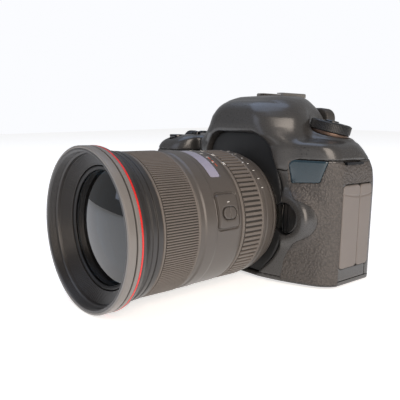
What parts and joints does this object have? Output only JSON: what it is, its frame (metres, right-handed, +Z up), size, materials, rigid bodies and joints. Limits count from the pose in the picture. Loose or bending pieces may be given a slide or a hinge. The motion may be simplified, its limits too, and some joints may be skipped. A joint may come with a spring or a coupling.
{
  "type": "dslr camera",
  "caption": "Digital reflex camera with a large wide zoom lens, mirror and shutter inside, turning rings and dials, sprung keys, opening doors, accessory shoe and tripod socket.",
  "frame": {"origin": "mouth of the tripod socket in the camera's base, straight under the optical axis", "axes": "+Z up, the lens points along -Y, the grip is at -X; the lens axis is at z = 40 mm"},
  "size_m": [0.1536, 0.182, 0.1207],
  "materials": {
    "body_paint": "satin charcoal paint on die-cast magnesium",
    "die_casting": "raw die casting",
    "leatherette": "grained rubber leatherette",
    "black_plastic": "fine matte black plastic",
    "gloss_black": "polished black plastic",
    "soft_rubber": "smooth moulded rubber",
    "mount_steel": "machined stainless steel",
    "screw_steel": "black oxide steel",
    "optical_glass": "coated optical glass",
    "lens_cells": "black anodised aluminium",
    "mirror_glass": "front-silvered glass",
    "curtain_blades": "blackened carbon blades",
    "sensor": "coated sensor glass",
    "circuit_laminate": "green circuit laminate",
    "window_acrylic": "clear acrylic over a dark display",
    "battery_plastic": "moulded plastic",
    "barrel_paint": "satin charcoal paint on aluminium",
    "ring_rubber": "ribbed rubber sleeve",
    "red_paint": "red enamel"
  },
  "bodies": {
    "camera_body": {"chassis": "die_casting", "front_cover": "body_paint", "top_cover": "body_paint", "rear_cover": "body_paint", "bottom_cover": "body_paint", "grip_leather": "leatherette", "front_leather": "leatherette", "mount_surround": "black_plastic", "badge_plate": "gloss_black", "body_mount": "mount_steel", "fasteners": "screw_steel", "hot_shoe": "mount_steel", "pentaprism": "optical_glass", "focusing_screen": "optical_glass", "eyepiece_lens": "optical_glass", "eyecup": "soft_rubber", "shutter_frame": "die_casting", "image_sensor": "sensor", "circuit_board": "circuit_laminate", "display_windows": "window_acrylic", "strap_lugs": "mount_steel", "tripod_socket": "mount_steel", "battery": "battery_plastic"},
    "reflex_mirror": {"reflex_mirror": "mirror_glass"},
    "sub_mirror": {"sub_mirror": "mirror_glass"},
    "shutter_curtain": {"shutter_curtain": "curtain_blades"},
    "mode_dial": {"mode_dial": "black_plastic"},
    "mode_lock_button": {"mode_lock_button": "black_plastic"},
    "power_switch": {"power_switch": "black_plastic"},
    "main_dial": {"main_dial": "black_plastic"},
    "shutter_button": {"shutter_button": "gloss_black"},
    "top_keys": {"top_keys": "black_plastic"},
    "quick_dial": {"quick_dial": "black_plastic"},
    "set_button": {"set_button": "black_plastic"},
    "joystick": {"joystick": "black_plastic"},
    "af_start_button": {"af_start_button": "black_plastic"},
    "ae_lock_button": {"ae_lock_button": "black_plastic"},
    "af_point_button": {"af_point_button": "black_plastic"},
    "live_view_button": {"live_view_button": "black_plastic"},
    "menu_keys": {"menu_keys": "black_plastic"},
    "left_keys": {"left_keys": "black_plastic"},
    "lens_release_button": {"lens_release_button": "gloss_black"},
    "card_door": {"card_door": "black_plastic"},
    "battery_door": {"battery_door": "black_plastic"},
    "terminal_cover_front": {"terminal_cover_front": "soft_rubber"},
    "terminal_cover_rear": {"terminal_cover_rear": "soft_rubber"},
    "lens": {"lens_bayonet": "mount_steel", "rear_barrel": "barrel_paint", "window_barrel": "barrel_paint", "distance_window": "optical_glass", "front_barrel": "barrel_paint", "red_ring": "red_paint", "aperture_unit": "lens_cells"},
    "zoom_ring": {"zoom_ring": "ring_rubber"},
    "zoom_group": {"zoom_group": "lens_cells"},
    "front_element": {"front_element": "optical_glass"},
    "focus_ring": {"focus_ring": "ring_rubber"},
    "distance_scale": {"distance_scale": "lens_cells"},
    "focus_group": {"focus_group": "lens_cells"},
    "focus_switch": {"focus_switch": "barrel_paint"}
  },
  "joints": [
    {"name": "mirror_flip", "type": "hinge", "parent": "camera_body", "child": "reflex_mirror", "pos_m": [0, 0.002, 0.057], "axis": [1, 0, 0], "range_deg": [-45, 0]},
    {"name": "sub_mirror_fold", "type": "hinge", "parent": "reflex_mirror", "child": "sub_mirror", "pos_m": [0, -0.00684, 0.04533], "axis": [1, 0, 0], "range_deg": [-90, 0]},
    {"name": "shutter_travel", "type": "slide", "parent": "camera_body", "child": "shutter_curtain", "axis": [0, 0, -1], "range_m": [0, 0.0242]},
    {"name": "mode_dial_turn", "type": "hinge", "parent": "camera_body", "child": "mode_dial", "pos_m": [0.0407, 0.004, 0.0925], "axis": [0.1951, 0.112, 0.9744], "continuous": true},
    {"name": "mode_lock_press", "type": "slide", "parent": "mode_dial", "child": "mode_lock_button", "axis": [-0.1951, -0.112, -0.9744], "range_m": [0, 0.001], "stiffness_N_per_m": 400},
    {"name": "power_switch_turn", "type": "hinge", "parent": "camera_body", "child": "power_switch", "pos_m": [0.0407, 0.004, 0.0925], "axis": [0.1951, 0.112, 0.9744], "range_deg": [0, 35]},
    {"name": "main_dial_turn", "type": "hinge", "parent": "camera_body", "child": "main_dial", "pos_m": [-0.0695, -0.0167, 0.0826], "axis": [1, 0, 0], "continuous": true},
    {"name": "shutter_button_press", "type": "slide", "parent": "camera_body", "child": "shutter_button", "axis": [0, 0, -1], "range_m": [0, 0.0014], "stiffness_N_per_m": 400},
    {"name": "top_keys_press", "type": "slide", "parent": "camera_body", "child": "top_keys", "axis": [0, 0, -1], "range_m": [0, 0.0008], "stiffness_N_per_m": 400},
    {"name": "quick_dial_turn", "type": "hinge", "parent": "camera_body", "child": "quick_dial", "pos_m": [-0.0595, 0.022, 0.031], "axis": [0, 1, 0], "continuous": true},
    {"name": "set_button_press", "type": "slide", "parent": "camera_body", "child": "set_button", "axis": [0, -1, 0], "range_m": [0, 0.0008], "stiffness_N_per_m": 400},
    {"name": "joystick_tilt", "type": "hinge", "parent": "camera_body", "child": "joystick", "pos_m": [-0.0515, 0.0212, 0.0605], "axis": [1, 0, 0], "range_deg": [-8, 8], "stiffness_Nm_per_rad": 0.05},
    {"name": "af_start_press", "type": "slide", "parent": "camera_body", "child": "af_start_button", "axis": [0, -1, 0], "range_m": [0, 0.0008], "stiffness_N_per_m": 400},
    {"name": "ae_lock_press", "type": "slide", "parent": "camera_body", "child": "ae_lock_button", "axis": [0, -1, 0], "range_m": [0, 0.0008], "stiffness_N_per_m": 400},
    {"name": "af_point_press", "type": "slide", "parent": "camera_body", "child": "af_point_button", "axis": [0, -1, 0], "range_m": [0, 0.0008], "stiffness_N_per_m": 400},
    {"name": "live_view_press", "type": "slide", "parent": "camera_body", "child": "live_view_button", "axis": [0, -1, 0], "range_m": [0, 0.0008], "stiffness_N_per_m": 400},
    {"name": "menu_keys_press", "type": "slide", "parent": "camera_body", "child": "menu_keys", "axis": [0, -1, 0], "range_m": [0, 0.0008], "stiffness_N_per_m": 400},
    {"name": "left_keys_press", "type": "slide", "parent": "camera_body", "child": "left_keys", "axis": [0, -1, 0], "range_m": [0, 0.0008], "stiffness_N_per_m": 400},
    {"name": "lens_release_press", "type": "slide", "parent": "camera_body", "child": "lens_release_button", "axis": [0, 1, 0], "range_m": [0, 0.0025], "stiffness_N_per_m": 600},
    {"name": "card_door_open", "type": "hinge", "parent": "camera_body", "child": "card_door", "pos_m": [-0.086, -0.0115, 0.041], "axis": [0, 0, 1], "range_deg": [0, 95]},
    {"name": "battery_door_open", "type": "hinge", "parent": "camera_body", "child": "battery_door", "pos_m": [-0.054, -0.007, 0.0003], "axis": [0, -1, 0], "range_deg": [0, 90]},
    {"name": "terminal_front_open", "type": "hinge", "parent": "camera_body", "child": "terminal_cover_front", "pos_m": [0.066, -0.0132, 0.037], "axis": [0, 0, -1], "range_deg": [0, 95]},
    {"name": "terminal_rear_open", "type": "hinge", "parent": "camera_body", "child": "terminal_cover_rear", "pos_m": [0.066, 0.00395, 0.037], "axis": [0, 0, -1], "range_deg": [0, 95]},
    {"name": "lens_turn", "type": "hinge", "parent": "camera_body", "child": "lens", "pos_m": [0, -0.036, 0.04], "axis": [0, -1, 0], "range_deg": [0, 60]},
    {"name": "zoom_turn", "type": "hinge", "parent": "lens", "child": "zoom_ring", "pos_m": [0, -0.06, 0.04], "axis": [0, -1, 0], "range_deg": [0, 60]},
    {"name": "zoom_group_travel", "type": "slide", "parent": "lens", "child": "zoom_group", "axis": [0, -1, 0], "range_m": [0, 0.007]},
    {"name": "front_group_travel", "type": "slide", "parent": "lens", "child": "front_element", "axis": [0, 1, 0], "range_m": [0, 0.002]},
    {"name": "focus_turn", "type": "hinge", "parent": "lens", "child": "focus_ring", "pos_m": [0, -0.112, 0.04], "axis": [0, -1, 0], "range_deg": [-60, 60]},
    {"name": "distance_scale_turn", "type": "hinge", "parent": "lens", "child": "distance_scale", "pos_m": [0, -0.08, 0.04], "axis": [0, -1, 0], "range_deg": [-31, 31]},
    {"name": "focus_group_travel", "type": "slide", "parent": "lens", "child": "focus_group", "axis": [0, -1, 0], "range_m": [-0.0032, 0.0032]},
    {"name": "focus_switch_slide", "type": "slide", "parent": "lens", "child": "focus_switch", "axis": [0, 1, 0], "range_m": [0, 0.0016]}
  ],
  "couplings": [
    {"joint": "sub_mirror_fold", "follows": "mirror_flip", "ratio": 2},
    {"joint": "zoom_group_travel", "follows": "zoom_turn", "m_per_rad": 0.006494},
    {"joint": "front_group_travel", "follows": "zoom_turn", "m_per_rad": 0.001814},
    {"joint": "distance_scale_turn", "follows": "focus_turn", "ratio": 0.5},
    {"joint": "focus_group_travel", "follows": "focus_turn", "m_per_rad": 0.002865}
  ]
}
